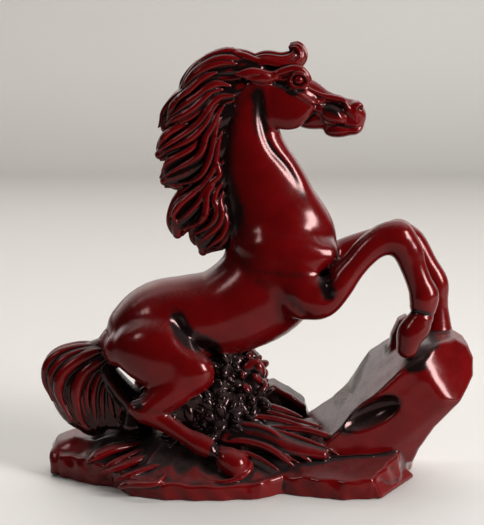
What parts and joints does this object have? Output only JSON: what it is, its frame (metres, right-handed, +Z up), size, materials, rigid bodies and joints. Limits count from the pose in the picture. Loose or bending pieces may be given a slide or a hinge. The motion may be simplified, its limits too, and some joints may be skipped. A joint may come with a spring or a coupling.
{
  "type": "rearing horse figurine",
  "caption": "Small glossy red resin figurine of a rearing horse with its forefeet on a leaning rock, on a rocky base with leaves and grass.",
  "frame": {"origin": "middle of the base's flat underside", "axes": "+X the way the horse faces, +Z up, so the horse's right side, which the picture shows, is toward -Y"},
  "size_m": [0.106, 0.0444, 0.1076],
  "materials": {
    "red_resin": "glossy dark red cast resin with black wash in the creases",
    "dark_resin": "the same resin, mostly covered by the black wash"
  },
  "bodies": {
    "root": {"base_plinth": "red_resin", "rock_outcrop": "red_resin", "rear_rock": "dark_resin", "foliage_near": "dark_resin", "foliage_far": "dark_resin", "grass_near": "dark_resin", "trunk": "red_resin", "neck": "red_resin", "head": "red_resin", "ear_right": "red_resin", "ear_left": "red_resin", "forelock": "red_resin", "mane_lock_1": "red_resin", "mane_lock_2": "red_resin", "mane_lock_3": "red_resin", "mane_lock_4": "red_resin", "mane_lock_5": "red_resin", "mane_lock_6": "red_resin", "tail": "red_resin", "right_forearm": "red_resin", "right_fore_cannon": "red_resin", "left_forearm": "red_resin", "left_fore_cannon": "red_resin", "right_thigh": "red_resin", "right_hind_cannon": "red_resin", "left_thigh": "red_resin", "left_hind_cannon": "red_resin"}
  },
  "joints": []
}
